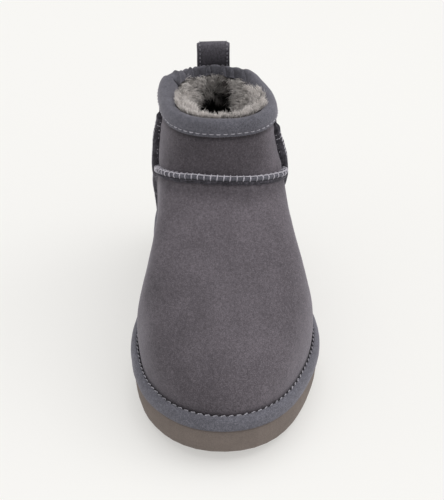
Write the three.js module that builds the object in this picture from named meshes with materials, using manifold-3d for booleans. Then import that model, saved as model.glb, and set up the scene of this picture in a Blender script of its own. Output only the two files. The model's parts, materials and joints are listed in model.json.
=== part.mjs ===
// Left sheepskin slipper boot, millimetres.
// +Z up from the floor, toe towards -Y, heel towards +Y, outer (little-toe) side at +X, inner side at -X.
// A "station" is a distance back from the toe tip of the sole; it becomes Y once the boot is centred.

import * as THREE from "three";
import { mergeVertices } from "three/addons/utils/BufferGeometryUtils.js";
import Module from "manifold-3d";

// ---------------------------------------------------------------- driving dimensions

const CLEARANCE = 0.3; // air between two neighbouring pieces
const SOLE_REACH = 4.3; // sole edge outside the feather line of the upper
const FOXING_REACH = 6.1; // foxing face outside the feather line
const FOXING_HEIGHT = 8.5;
const FOXING_EASE = 0.7; // rounding of its lower edge
const FOXING_BELLY = 0.55; // share of its height up to which the face stands straight
const FOXING_SHOULDER = 0.8; // share of height and reach where it turns inwards
const FOXING_TIP = 0.42; // share of its reach at the top
const INSOLE_THICK = 6;
const INSOLE_EDGE = 1.5; // bevel round its upper face
const INSOLE_EASE = 1.1; // room between the insole edge and the lining
const BINDING_THICK = 1.3;
const BINDING_OUTER_LEG = 9; // how far the binding reaches down outside the collar
const BINDING_INNER_LEG = 5.5; // and inside it
const BINDING_CREST = 2; // its height over the cut edge
const BINDING_TURN = 0.9; // height at which it rolls over the edge
const BINDING_PRESS = 0.3; // how far it is drawn in along its stitched edges
const BINDING_BULGE = 0.5; // fullness of its roll
const BINDING_BULGE_AT = 3; // how far below the collar edge it is fullest
const LOOP_WIDTH = 20;
const LOOP_THICK = 1.6;
const LOOP_HEIGHT = 13.6; // top of the pull loop over the collar edge
const LOOP_TAIL = 19; // its sewn tail below the collar edge
const LOOP_GAP = 6; // widest finger gap inside the folded strap
const LOOP_LEAN = 2.4; // how far its top stands behind the heel line
const LOOP_SHOULDER = 2.1; // half width of the bend at its top
const LOOP_ROUND = 0.9; // drop from its top to the shoulders
const LOOP_FREE_AT = 4; // height over the collar edge where it stops hugging the heel
const LOOP_FREE_OVER = 12;
const LOOP_LEAST_HUG = 0.25;
const LID_CELLS = 4; // rows of faces from the edge to the middle of a flat lid

// Height of the sole's upper face and of its underside, by station.
const SOLE_PROFILE = table(
  ["station", "top", "under"],
  [
    [0, 21.6, 5.4],
    [12, 21.0, 3.6],
    [28, 20.3, 1.6],
    [45, 19.8, 0.4],
    [60, 19.6, 0],
    [90, 19.5, 0],
    [118, 19.8, 0],
    [132, 20.3, 0.9],
    [148, 21.2, 2.2],
    [164, 22.3, 2.2],
    [180, 23.3, 0.9],
    [194, 24.1, 0],
    [225, 24.9, 0],
    [256, 25.1, 0],
    [272, 25.1, 1.6],
  ],
);

// Side of the sole: share of the way down, and how far it has drawn in from the top edge.
const SOLE_SIDE = table(
  ["down", "inset"],
  [
    [0, 0.5],
    [0.06, 0],
    [0.3, -0.1],
    [0.6, 0.5],
    [0.82, 1.7],
    [0.94, 3.3],
    [1, 5.4],
  ],
);

// Sideways shift of the middle line of the boot, by station: the toe leans to the inner side.
const MIDLINE = table(
  ["station", "shift"],
  [
    [0, -2.6],
    [40, -2.3],
    [80, 0.5],
    [120, 2.2],
    [160, 2.4],
    [200, 0.9],
    [240, 0],
    [272, -0.2],
  ],
);

// The upper, ring by ring from the feather line to the collar edge.
// front, back: stations of its ends. zFront, zBack: heights there.
// ball, waist, heel: half widths at the three stations below. toeRun, toeN, heelRun, heelN: length
// and squareness of the rounded ends. follow: share of the sole's own profile. wall: with the wool.
const WIDTH_STATIONS = [86, 160, 236];
const UPPER = table(
  [
    "front",
    "zFront",
    "back",
    "zBack",
    "ball",
    "waist",
    "heel",
    "toeRun",
    "toeN",
    "heelRun",
    "heelN",
    "follow",
    "wall",
  ],
  [
    [5.8, 21.9, 266.2, 25.4, 50.2, 39.4, 31.5, 100, 2.15, 40, 2.15, 1, 9],
    [5.7, 29.5, 266.8, 33.5, 51.6, 40.4, 32.6, 100, 2.15, 41, 2.15, 0.9, 9.4],
    [7.2, 38, 267.4, 41.6, 52.2, 40.9, 33.6, 99, 2.15, 42, 2.15, 0.7, 10.2],
    [13.5, 46.5, 267.6, 50, 51.6, 40.6, 34.5, 94, 2.15, 44, 2.15, 0.5, 11],
    [26, 54.5, 267.0, 58.5, 50.1, 39.9, 35.3, 84, 2.2, 46, 2.15, 0.3, 11],
    [46, 62.5, 265.9, 67, 48.4, 39.0, 36.0, 70, 2.25, 47, 2.15, 0.15, 11.4],
    [70, 71.5, 264.2, 75.5, 46.6, 38.3, 36.4, 58, 2.3, 48, 2.15, 0, 12],
    [97, 81, 261.9, 84, 45.2, 37.9, 36.4, 50, 2.3, 49, 2.2, 0, 12],
    [120, 91, 259.3, 92, 44.4, 37.7, 36.2, 46, 2.3, 49, 2.2, 0, 12],
    [139.5, 102.5, 257.0, 100, 43.6, 37.7, 35.4, 44, 2.3, 49, 2.2, 0, 12.8],
    [145.5, 114, 254.8, 108.2, 42.0, 37.1, 34.2, 45, 2.3, 50, 2.1, 0, 12.8],
    [147, 127, 252.0, 118, 40.0, 35.6, 32.8, 45, 2.3, 52, 2, 0, 11],
    [147, 139, 249.4, 126.2, 38.0, 34.0, 31.7, 45, 2.3, 54, 1.9, 0, 4.8],
  ],
);

const AROUND = 72; // points round every ring, even
const RINGS = 25; // rings of the outer face of the upper
const LINING_STEP = 2; // the lining keeps every second ring
const DENSE = 48; // curve points per rounded end before even spacing

const COLOURS = {
  upper: { color: 0x5d575b, roughness: 0.95 },
  foxing: { color: 0x504f57, roughness: 0.85 },
  binding: { color: 0x504f57, roughness: 0.85 },
  loop: { color: 0x4a494f, roughness: 0.92 },
  outsole: { color: 0x73675f, roughness: 0.7 },
  insole: { color: 0x8b8380, roughness: 1 },
};

// ---------------------------------------------------------------- tables and curves

function table(columns, rows) {
  return rows.map((row) => Object.fromEntries(columns.map((name, i) => [name, row[i]])));
}

const lerp = THREE.MathUtils.lerp;
const clamp = THREE.MathUtils.clamp;

function catmullRom(a, b, c, d, t) {
  const t2 = t * t;
  const t3 = t2 * t;
  return 0.5 * (2 * b + (c - a) * t + (2 * a - 5 * b + 4 * c - d) * t2 + (3 * b - a - 3 * c + d) * t3);
}

// One row of a table at a fractional row number, every column on a smooth curve.
function rowAt(rows, position) {
  const at = clamp(position, 0, rows.length - 1);
  const i = Math.min(Math.floor(at), rows.length - 2);
  const pick = (k) => rows[clamp(k, 0, rows.length - 1)];
  return Object.fromEntries(
    Object.keys(rows[0]).map((name) => [
      name,
      catmullRom(pick(i - 1)[name], pick(i)[name], pick(i + 1)[name], pick(i + 2)[name], at - i),
    ]),
  );
}

// A column against another: monotone cubic, so that flat spans stay flat.
function along(rows, key, value, x) {
  const last = rows.length - 1;
  if (x <= rows[0][key]) return rows[0][value];
  if (x >= rows[last][key]) return rows[last][value];
  const i = rows.findIndex((row) => row[key] > x) - 1;
  const slope = (k) => (rows[k + 1][value] - rows[k][value]) / (rows[k + 1][key] - rows[k][key]);
  const tangent = (k) => {
    if (k === 0) return slope(0);
    if (k === last) return slope(last - 1);
    const before = slope(k - 1);
    const after = slope(k);
    return before * after <= 0 ? 0 : (2 * before * after) / (before + after);
  };
  const span = rows[i + 1][key] - rows[i][key];
  const t = (x - rows[i][key]) / span;
  const t2 = t * t;
  const t3 = t2 * t;
  return (
    (2 * t3 - 3 * t2 + 1) * rows[i][value] +
    (t3 - 2 * t2 + t) * span * tangent(i) +
    (3 * t2 - 2 * t3) * rows[i + 1][value] +
    (t3 - t2) * span * tangent(i + 1)
  );
}

const soleTop = (station) => along(SOLE_PROFILE, "station", "top", station);
const soleUnder = (station) => along(SOLE_PROFILE, "station", "under", station);
const midline = (station) => along(MIDLINE, "station", "shift", station);

// ---------------------------------------------------------------- rings of the upper

// Half width along a ring: level before the ball and behind the heel, so both ends start smoothly.
function halfWidth(row, station) {
  const [ballAt, waistAt, heelAt] = WIDTH_STATIONS;
  const rows = table(
    ["station", "half"],
    [
      [0, row.ball],
      [ballAt, row.ball],
      [waistAt, row.waist],
      [heelAt, row.heel],
      [heelAt + ballAt, row.heel],
    ],
  );
  return along(rows, "station", "half", station);
}

// Stations and end-rounding factors from the front of a ring to its back, one side.
function sideSamples(row) {
  const samples = [];
  for (let k = 0; k <= DENSE; k++) {
    const a = (k / DENSE) * (Math.PI / 2);
    samples.push([
      row.front + row.toeRun * (1 - Math.cos(a) ** (2 / row.toeN)),
      Math.sin(a) ** (2 / row.toeN),
    ]);
  }
  const from = row.front + row.toeRun;
  const to = row.back - row.heelRun;
  for (let k = 1; k < DENSE; k++) samples.push([lerp(from, to, k / DENSE), 1]);
  for (let k = DENSE; k >= 0; k--) {
    const a = (k / DENSE) * (Math.PI / 2);
    samples.push([
      row.back - row.heelRun * (1 - Math.cos(a) ** (2 / row.heelN)),
      Math.sin(a) ** (2 / row.heelN),
    ]);
  }
  return samples;
}

function ringHeight(row, station) {
  const t = (station - row.front) / (row.back - row.front);
  const chord = lerp(soleTop(row.front), soleTop(row.back), t);
  return lerp(row.zFront, row.zBack, t) + row.follow * (soleTop(station) - chord);
}

// One side of a ring as evenly spaced points from front to back. side: +1 outer, -1 inner.
function sideOfRing(row, side) {
  const curve = sideSamples(row).map(([station, round]) => {
    const x = midline(station) + side * halfWidth(row, station) * round;
    return new THREE.Vector3(x, station, ringHeight(row, station));
  });
  const travelled = [0];
  for (let k = 1; k < curve.length; k++) {
    travelled.push(travelled[k - 1] + curve[k].distanceTo(curve[k - 1]));
  }
  const whole = travelled[travelled.length - 1];
  const points = [];
  let k = 1;
  for (let i = 0; i <= AROUND / 2; i++) {
    const want = (i / (AROUND / 2)) * whole;
    while (k < curve.length - 1 && travelled[k] < want) k++;
    const share = (want - travelled[k - 1]) / (travelled[k] - travelled[k - 1]);
    points.push(curve[k - 1].clone().lerp(curve[k], clamp(share, 0, 1)));
  }
  return points;
}

// A whole ring: up the outer side from the toe to the heel, and back along the inner side.
function outerRing(position) {
  const row = rowAt(UPPER, position);
  const outer = sideOfRing(row, 1);
  const inner = sideOfRing(row, -1).slice(1, -1).reverse();
  return outer.concat(inner);
}

// Outward directions of a ring in the floor plane.
function flatNormals(ring) {
  const n = ring.length;
  return ring.map((_, i) => {
    const ahead = ring[(i + 1) % n];
    const behind = ring[(i + n - 1) % n];
    return new THREE.Vector3(ahead.y - behind.y, behind.x - ahead.x, 0).normalize();
  });
}

function offsetRing(ring, out, height) {
  const normals = flatNormals(ring);
  return ring.map((p, i) => {
    const q = p.clone().addScaledVector(normals[i], out);
    return height ? q.setZ(height(q, p)) : q;
  });
}

// Outward directions of a stack of rings in space.
function spaceNormals(rings) {
  return rings.map((ring, v) => {
    const above = rings[Math.min(v + 1, rings.length - 1)];
    const below = rings[Math.max(v - 1, 0)];
    const n = ring.length;
    return ring.map((_, i) => {
      const round = ring[(i + 1) % n].clone().sub(ring[(i + n - 1) % n]);
      const up = above[i].clone().sub(below[i]);
      return round.cross(up).normalize();
    });
  });
}

// ---------------------------------------------------------------- meshes from rings

class Skin {
  constructor() {
    this.points = [];
    this.faces = [];
  }
  ring(points) {
    const first = this.points.length;
    this.points.push(...points);
    return points.map((_, i) => first + i);
  }
  // Joins two closed rings that run the same way; "below" lies under or outside "above".
  band(below, above) {
    const n = below.length;
    for (let i = 0; i < n; i++) {
      const j = (i + 1) % n;
      this.faces.push([below[i], below[j], above[j]], [below[i], above[j], above[i]]);
    }
  }
  // Closes a ring with straight rungs from its outer to its inner side, cut into cells.
  lid(ring, height, up) {
    const half = ring.length / 2;
    const row = (i) => {
      const a = this.points[ring[i]];
      if (i === 0 || i === half) return [ring[i]];
      const b = this.points[ring[ring.length - i]];
      const inside = [];
      for (let k = 1; k < LID_CELLS; k++) {
        const p = a.clone().lerp(b, k / LID_CELLS);
        inside.push(this.points.push(p.setZ(height(p))) - 1);
      }
      return [ring[i], ...inside, ring[ring.length - i]];
    };
    const add = (a, b, c) => this.faces.push(up ? [a, b, c] : [a, c, b]);
    let before = row(0);
    for (let i = 1; i <= half; i++) {
      const after = row(i);
      for (let k = 0; k < LID_CELLS; k++) {
        const at = (list, m) => list[list.length === 1 ? 0 : m];
        const [a, b] = [at(before, k), at(before, k + 1)];
        const [c, d] = [at(after, k), at(after, k + 1)];
        if (c !== d) add(a, c, d);
        if (a !== b) add(a, d, b);
      }
      before = after;
    }
  }
  geometry() {
    const geometry = new THREE.BufferGeometry();
    geometry.setAttribute(
      "position",
      new THREE.Float32BufferAttribute(
        this.points.flatMap((p) => p.toArray()),
        3,
      ),
    );
    geometry.setIndex(this.faces.flat());
    return geometry;
  }
}

// ---------------------------------------------------------------- the upper: one hollow skin

const ringPosition = (v) => (v / (RINGS - 1)) * (UPPER.length - 1);
const outerRings = Array.from({ length: RINGS }, (_, v) => outerRing(ringPosition(v)));
const featherLine = outerRings[0];

function liningRings() {
  const normals = spaceNormals(outerRings);
  const last = RINGS - 1;
  const kept = outerRings.map((_, v) => v).filter((v) => v % LINING_STEP === 0 || v === last);
  return kept.map((v) => {
    const wall = rowAt(UPPER, ringPosition(v)).wall;
    if (v === 0 || v === last) return offsetRing(outerRings[v], -wall);
    return outerRings[v].map((p, i) => p.clone().addScaledVector(normals[v][i], -wall));
  });
}

function upperGeometry() {
  const skin = new Skin();
  const outside = outerRings.map((ring) => skin.ring(ring));
  const inside = liningRings().map((ring) => skin.ring(ring));
  for (let v = 1; v < outside.length; v++) skin.band(outside[v - 1], outside[v]);
  skin.band(outside[outside.length - 1], inside[inside.length - 1]);
  for (let v = inside.length - 1; v > 0; v--) skin.band(inside[v], inside[v - 1]);
  skin.band(inside[0], outside[0]);
  return skin.geometry();
}

// ---------------------------------------------------------------- sole, foxing, insole

const GROOVE_WIDTH = 2.6;
const GROOVE_DEPTH = 2.2;
const GROOVE_WAVE = 2.6; // sway of each groove
const GROOVE_WAVES = 3; // sways across the sole
const GROOVE_STEPS = 12;
const GROOVE_MARGIN = 11; // land left between a groove's end and the sole edge
const GROOVE_PITCH = 9.5;
const GROOVE_SPANS = [
  [26, 118],
  [194, 254],
];

function outsoleBody() {
  const skin = new Skin();
  const levels = SOLE_SIDE.map(({ down, inset }) =>
    skin.ring(
      offsetRing(featherLine, SOLE_REACH - inset, (q, p) =>
        lerp(soleTop(p.y), soleUnder(p.y), down),
      ),
    ),
  );
  for (let k = 1; k < levels.length; k++) skin.band(levels[k], levels[k - 1]);
  skin.lid(levels[0], (p) => soleTop(p.y), true);
  skin.lid(levels[levels.length - 1], (p) => soleUnder(p.y), false);
  return skin.geometry();
}

// A wavy bar across the sole at one station, standing from below the tread to the groove's roof.
function grooveCutter(station) {
  const row = UPPER[0];
  const toeShare = clamp((station - row.front) / row.toeRun, 0, 1);
  const heelShare = clamp((row.back - station) / row.heelRun, 0, 1);
  const round =
    (1 - (1 - toeShare) ** row.toeN) ** (1 / row.toeN) *
    (1 - (1 - heelShare) ** row.heelN) ** (1 / row.heelN);
  const reach = halfWidth(row, station) * round + SOLE_REACH - GROOVE_MARGIN;
  const edge = (across, side) => {
    const sway = GROOVE_WAVE * Math.sin(across * Math.PI * GROOVE_WAVES);
    return new THREE.Vector2(midline(station) + across * reach, station + sway + (side * GROOVE_WIDTH) / 2);
  };
  const shares = Array.from({ length: GROOVE_STEPS + 1 }, (_, k) => (2 * k) / GROOVE_STEPS - 1);
  const front = shares.map((across) => edge(across, -1));
  const back = shares.map((across) => edge(across, 1)).reverse();
  const roof = soleUnder(station) + GROOVE_DEPTH;
  const bar = new THREE.ExtrudeGeometry(new THREE.Shape(front.concat(back)), {
    depth: roof + 1,
    bevelEnabled: false,
    steps: 1,
  });
  return bar.translate(0, 0, -1);
}

function grooveStations() {
  return GROOVE_SPANS.flatMap(([from, to]) => {
    const count = Math.floor((to - from) / GROOVE_PITCH);
    return Array.from({ length: count + 1 }, (_, k) => lerp(from, to, k / count));
  });
}

const wasm = await Module();
wasm.setup();

function toSolid(geometry) {
  const bare = new THREE.BufferGeometry();
  const source = geometry.index ? geometry.toNonIndexed() : geometry;
  bare.setAttribute("position", source.getAttribute("position"));
  const merged = mergeVertices(bare, 1e-4);
  return new wasm.Manifold(
    new wasm.Mesh({
      numProp: 3,
      vertProperties: merged.attributes.position.array,
      triVerts: new Uint32Array(merged.index.array),
    }),
  );
}

function fromSolid(solid) {
  const mesh = solid.getMesh();
  const geometry = new THREE.BufferGeometry();
  geometry.setAttribute("position", new THREE.Float32BufferAttribute(mesh.vertProperties, 3));
  geometry.setIndex(Array.from(mesh.triVerts));
  return geometry;
}

function outsoleGeometry() {
  const body = toSolid(outsoleBody());
  const cut = grooveStations().reduce((rest, at) => rest.subtract(toSolid(grooveCutter(at))), body);
  return fromSolid(cut);
}

// The outer face of the upper at a height over the sole, pushed out by a distance.
function upperFace(heightOverSole, out) {
  const rise = UPPER[1].zFront - UPPER[0].zFront;
  const ring = outerRing(clamp((heightOverSole - CLEARANCE) / rise, 0, UPPER.length - 1));
  return offsetRing(ring, out, (q, p) => soleTop(p.y) + heightOverSole);
}

function foxingGeometry() {
  const face = (height, reach) =>
    offsetRing(featherLine, reach, (q, p) => soleTop(p.y) + height);
  const skin = new Skin();
  const inner = [
    upperFace(CLEARANCE, CLEARANCE),
    upperFace(FOXING_HEIGHT * FOXING_BELLY, CLEARANCE),
    upperFace(FOXING_HEIGHT, CLEARANCE),
  ];
  const outer = [
    face(CLEARANCE, FOXING_REACH - FOXING_EASE),
    face(CLEARANCE + FOXING_EASE, FOXING_REACH),
    face(FOXING_HEIGHT * FOXING_BELLY, FOXING_REACH),
    face(FOXING_HEIGHT * FOXING_SHOULDER, FOXING_REACH * FOXING_SHOULDER),
    face(FOXING_HEIGHT, FOXING_REACH * FOXING_TIP),
  ];
  const loop = inner.slice().reverse().concat(outer).map((ring) => skin.ring(ring));
  for (let k = 0; k < loop.length; k++) skin.band(loop[k], loop[(k + 1) % loop.length]);
  return skin.geometry();
}

function insoleGeometry() {
  const reach = -UPPER[0].wall - INSOLE_EASE;
  const level = (height, inset) =>
    offsetRing(featherLine, reach - inset, (q, p) => soleTop(p.y) + height);
  const skin = new Skin();
  const levels = [
    level(CLEARANCE, 0),
    level(CLEARANCE + INSOLE_THICK - INSOLE_EDGE, 0),
    level(CLEARANCE + INSOLE_THICK, INSOLE_EDGE),
  ].map((ring) => skin.ring(ring));
  for (let k = 1; k < levels.length; k++) skin.band(levels[k - 1], levels[k]);
  skin.lid(levels[levels.length - 1], (p) => soleTop(p.y) + CLEARANCE + INSOLE_THICK, true);
  skin.lid(levels[0], (p) => soleTop(p.y) + CLEARANCE, false);
  return skin.geometry();
}

// ---------------------------------------------------------------- collar: binding and pull loop

const rimPosition = UPPER.length - 1;
const rim = UPPER[rimPosition];

// Table position whose front stands a given distance below the collar edge.
function positionBelowRim(down) {
  let low = rimPosition - 4;
  let high = rimPosition;
  for (let k = 0; k < 40; k++) {
    const middle = (low + high) / 2;
    if (rim.zFront - rowAt(UPPER, middle).zFront > down) low = middle;
    else high = middle;
  }
  return (low + high) / 2;
}

// A ring near the collar: so far down from its edge, and so far out from the outer face.
function collarRing(down, out) {
  if (down <= 0) return offsetRing(outerRing(rimPosition), out, (q, p) => p.z - down);
  return offsetRing(outerRing(positionBelowRim(down)), out);
}

const wallBelowRim = (down) => rowAt(UPPER, positionBelowRim(down)).wall;

function bindingGeometry() {
  const wall = rim.wall;
  const deep = wallBelowRim(BINDING_INNER_LEG);
  const thick = BINDING_THICK;
  const gap = CLEARANCE;
  const section = table(
    ["down", "out"],
    [
      [BINDING_OUTER_LEG, gap],
      [BINDING_OUTER_LEG, gap + thick - BINDING_PRESS],
      [BINDING_BULGE_AT, gap + thick + BINDING_BULGE],
      [-BINDING_TURN, gap + BINDING_PRESS],
      [-BINDING_CREST, -wall / 2],
      [-BINDING_TURN, -wall - gap - BINDING_PRESS],
      [BINDING_BULGE_AT, -wallBelowRim(BINDING_BULGE_AT) - gap - thick],
      [BINDING_INNER_LEG, -deep - gap - thick],
      [BINDING_INNER_LEG, -deep - gap],
      [-gap, -wall - gap],
      [-gap, gap],
    ],
  );
  const skin = new Skin();
  const rings = section.map(({ down, out }) => skin.ring(collarRing(down, out)));
  for (let k = 0; k < rings.length; k++) skin.band(rings[k], rings[(k + 1) % rings.length]);
  return skin.geometry();
}

// A point behind the heel: so far below the collar edge, and so far out from the upper.
function heelPoint(down, out) {
  const ring = down <= 0 ? outerRing(rimPosition) : outerRing(positionBelowRim(down));
  const p = ring[AROUND / 2];
  return new THREE.Vector2(p.y + out, down <= 0 ? p.z - down : p.z);
}

// The folded strap from the side. out: face nearest the boot; gap: air between its two layers.
const LOOP_LAYOUT = table(
  ["down", "out", "gap"],
  [
    [LOOP_TAIL, 0.5, 0],
    [BINDING_OUTER_LEG + 4, 1.2, 0],
    [BINDING_OUTER_LEG, 2.5, 0],
    [5, 2.7, 0.3],
    [1.5, 2.6, 2.4],
    [-2, 2.3, 4.8],
    [-5.5, 2.2, LOOP_GAP],
    [-9, 2.5, LOOP_GAP],
    [-11.6, 3.3, LOOP_GAP - 1.6],
  ],
);
const LOOP_SLICES = 6;
const HEEL_RADIUS = 34; // bend of the strap's tail round the heel

function loopGeometry() {
  const near = LOOP_LAYOUT.map(({ down, out }) => heelPoint(down, out));
  const far = LOOP_LAYOUT.map(({ down, out, gap }) => heelPoint(down, out + 2 * LOOP_THICK + gap));
  const top = heelPoint(-LOOP_HEIGHT, LOOP_LEAN + LOOP_THICK + LOOP_GAP / 2);
  const outline = [
    ...near,
    new THREE.Vector2(top.x - LOOP_SHOULDER, top.y - LOOP_ROUND),
    top,
    new THREE.Vector2(top.x + LOOP_SHOULDER, top.y - LOOP_ROUND),
    ...far.slice().reverse(),
  ];
  const open = LOOP_LAYOUT.filter(({ gap }) => gap > 0);
  const holeNear = open.map(({ down, out }) => heelPoint(down, out + LOOP_THICK));
  const holeFar = open.map(({ down, out, gap }) => heelPoint(down, out + LOOP_THICK + gap));
  const crown = new THREE.Vector2(top.x, top.y - LOOP_THICK);
  const shape = new THREE.Shape(outline);
  shape.holes.push(new THREE.Path([...holeFar, crown, ...holeNear.slice().reverse()]));
  const strap = new THREE.ExtrudeGeometry(shape, {
    depth: LOOP_WIDTH,
    steps: LOOP_SLICES,
    bevelEnabled: false,
  });
  // The profile was drawn as (station, height); stand it up and let the tail follow the heel.
  const position = strap.getAttribute("position");
  const edge = heelPoint(0, 0).y;
  for (let k = 0; k < position.count; k++) {
    const x = position.getZ(k) - LOOP_WIDTH / 2;
    const station = position.getX(k);
    const z = position.getY(k);
    const hug = clamp((edge + LOOP_FREE_AT - z) / LOOP_FREE_OVER, LOOP_LEAST_HUG, 1);
    position.setXYZ(k, x + midline(rim.back), station - (hug * x * x) / (2 * HEEL_RADIUS), z);
  }
  return strap;
}

// ---------------------------------------------------------------- assembly

function piece(name, geometry, look) {
  const clean = new THREE.BufferGeometry();
  const source = geometry.index ? geometry.toNonIndexed() : geometry;
  clean.setAttribute("position", source.getAttribute("position"));
  const merged = mergeVertices(clean, 1e-4);
  merged.computeVertexNormals();
  const material = new THREE.MeshStandardMaterial({ ...look, metalness: 0 });
  const mesh = new THREE.Mesh(merged, material);
  mesh.name = name;
  return mesh;
}

const boot = new THREE.Group();
boot.name = "sheepskin_boot";
boot.add(
  piece("outsole", outsoleGeometry(), COLOURS.outsole),
  piece("foxing", foxingGeometry(), COLOURS.foxing),
  piece("insole", insoleGeometry(), COLOURS.insole),
  piece("upper", upperGeometry(), COLOURS.upper),
  piece("collar_binding", bindingGeometry(), COLOURS.binding),
  piece("pull_loop", loopGeometry(), COLOURS.loop),
);

// Centre the boot over the origin, standing on the floor.
const box = new THREE.Box3().setFromObject(boot);
const middle = box.getCenter(new THREE.Vector3());
for (const mesh of boot.children) mesh.geometry.translate(-middle.x, -middle.y, -box.min.z);

export default boot;
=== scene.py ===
"""Low sheepskin boot: suede, wool, seams, stitching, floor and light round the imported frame."""

import json
import math
import random

import bmesh
import bpy
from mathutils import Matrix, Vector, noise
from mathutils.bvhtree import BVHTree
from mathutils.kdtree import KDTree

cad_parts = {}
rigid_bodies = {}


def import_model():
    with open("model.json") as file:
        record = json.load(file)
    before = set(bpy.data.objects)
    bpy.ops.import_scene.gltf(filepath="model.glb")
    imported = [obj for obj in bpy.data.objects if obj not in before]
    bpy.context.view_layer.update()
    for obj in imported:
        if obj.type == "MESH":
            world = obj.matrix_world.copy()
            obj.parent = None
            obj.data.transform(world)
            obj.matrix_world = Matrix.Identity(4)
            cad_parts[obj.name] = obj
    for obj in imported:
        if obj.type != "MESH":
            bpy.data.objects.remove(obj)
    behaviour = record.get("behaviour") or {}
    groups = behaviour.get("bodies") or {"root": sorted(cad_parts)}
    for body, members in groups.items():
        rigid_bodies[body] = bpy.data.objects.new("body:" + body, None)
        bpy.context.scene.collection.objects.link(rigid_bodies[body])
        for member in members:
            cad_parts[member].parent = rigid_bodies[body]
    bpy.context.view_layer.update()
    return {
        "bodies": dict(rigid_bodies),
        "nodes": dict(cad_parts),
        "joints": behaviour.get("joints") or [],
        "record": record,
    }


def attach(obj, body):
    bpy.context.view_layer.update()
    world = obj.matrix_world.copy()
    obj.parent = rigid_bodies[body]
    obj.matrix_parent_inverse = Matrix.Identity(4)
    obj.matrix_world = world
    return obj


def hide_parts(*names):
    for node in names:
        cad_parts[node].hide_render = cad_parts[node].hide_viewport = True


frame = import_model()
nodes = frame["nodes"]
scene = bpy.context.scene

MM = 0.001
WELD = 0.01 * MM
QUAD_ANGLE = math.radians(50)  # how far two triangles may bend and still make one square

# ------------------------------------------------------------------ camera

VIEW_TURN = math.radians(-2.6)
VIEW_RISE = math.radians(30.4)
VIEW_DISTANCE = 1.5
VIEW_AIM = Vector((0.0, 0.0, 0.06))
VIEW_LENS = 181.2


def make_camera():
    """A long lens, in front of the toe and above it, aimed at the middle of the boot."""
    back = Vector(
        (
            math.sin(VIEW_TURN) * math.cos(VIEW_RISE),
            -math.cos(VIEW_TURN) * math.cos(VIEW_RISE),
            math.sin(VIEW_RISE),
        )
    )
    bpy.ops.object.camera_add(location=VIEW_AIM + VIEW_DISTANCE * back)
    camera = bpy.context.object
    camera.name = "view_camera"
    camera.rotation_euler = (-back).to_track_quat("-Z", "Y").to_euler()
    camera.data.lens = VIEW_LENS
    camera.data.sensor_width = 36
    camera.data.clip_start = 0.05
    camera.data.clip_end = 30
    scene.camera = camera


make_camera()

# ------------------------------------------------------------------ small tools


def table(columns, rows):
    """Rows of numbers as dicts keyed by the column names."""
    return [dict(zip(columns, row)) for row in rows]


def smooth_step(low, high, x):
    """Rises smoothly from 0 at `low` to 1 at `high`, which may be the smaller one."""
    t = min(1.0, max(0.0, (x - low) / (high - low)))
    return t * t * (3 - 2 * t)


def along(points, x):
    """Straight-line reading of (x, y) points, level past both ends."""
    if x <= points[0][0]:
        return points[0][1]
    for (x0, y0), (x1, y1) in zip(points, points[1:]):
        if x <= x1:
            return y0 + (y1 - y0) * (x - x0) / (x1 - x0)
    return points[-1][1]


def bell(x, width):
    """1 where x is 0, falling off smoothly to both sides over about `width`."""
    return math.exp(-((x / width) ** 2))


def uneven(p, *waves):
    """Smooth unevenness at p: noises added up, each (features a metre, height)."""
    return sum(noise.noise(p * scale) * height for scale, height in waves)


def pick(piece):
    """Deselects everything and makes the piece the active one."""
    bpy.ops.object.select_all(action="DESELECT")
    piece.select_set(True)
    bpy.context.view_layer.objects.active = piece


def edit(piece, *steps):
    """Runs edit-mode steps on the whole piece."""
    pick(piece)
    bpy.ops.object.mode_set(mode="EDIT")
    bpy.ops.mesh.select_all(action="SELECT")
    for step in steps:
        step()
    bpy.ops.object.mode_set(mode="OBJECT")


def weld():
    bpy.ops.mesh.remove_doubles(threshold=WELD)


def close_ends():
    bpy.ops.mesh.fill_holes(sides=0)


def turn_outwards():
    bpy.ops.mesh.normals_make_consistent(inside=False)


def make_squares():
    bpy.ops.mesh.tris_convert_to_quads(face_threshold=QUAD_ANGLE, shape_threshold=QUAD_ANGLE)


def refine(piece):
    """Rounds the piece with an applied subdivision surface."""
    pick(piece)
    rounding = piece.modifiers.new("rounding", "SUBSURF")
    rounding.levels = rounding.render_levels = 2
    bpy.ops.object.modifier_apply(modifier=rounding.name)


def smooth(piece):
    """Shades the whole piece smooth."""
    pick(piece)
    bpy.ops.object.shade_smooth()


def copy_node(node, name):
    """A welded, squared-up copy of a CAD node's mesh, ready to be refined."""
    piece = bpy.data.objects.new(name, nodes[node].data.copy())
    scene.collection.objects.link(piece)
    pick(piece)
    bpy.ops.mesh.customdata_custom_splitnormals_clear()
    edit(piece, weld, make_squares)
    piece.data.materials.clear()
    return piece


def tree_of(piece):
    """A search tree over the piece's mesh."""
    shape = bmesh.new()
    shape.from_mesh(piece.data)
    found = BVHTree.FromBMesh(shape)
    shape.free()
    return found


def paint(piece, name, values):
    """Stores one number per point on the piece, for its material."""
    layer = piece.data.attributes.new(name, "FLOAT", "POINT")
    layer.data.foreach_set("value", values)


def settle(piece, slot, *replaced):
    """The piece rides on the boot and stands for CAD nodes if any are named. `slot` is not used."""
    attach(piece, "root")
    if replaced:
        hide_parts(*replaced)
    return piece


def finish(piece, material, slot, *replaced):
    """The same material all over, shaded smooth and settled on the boot."""
    piece.data.materials.append(material)
    smooth(piece)
    return settle(piece, slot, *replaced)


# ------------------------------------------------------------------ materials


def dimmed(base, factor):
    """The base colour, brighter or darker."""
    return tuple(channel * factor for channel in base)


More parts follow.
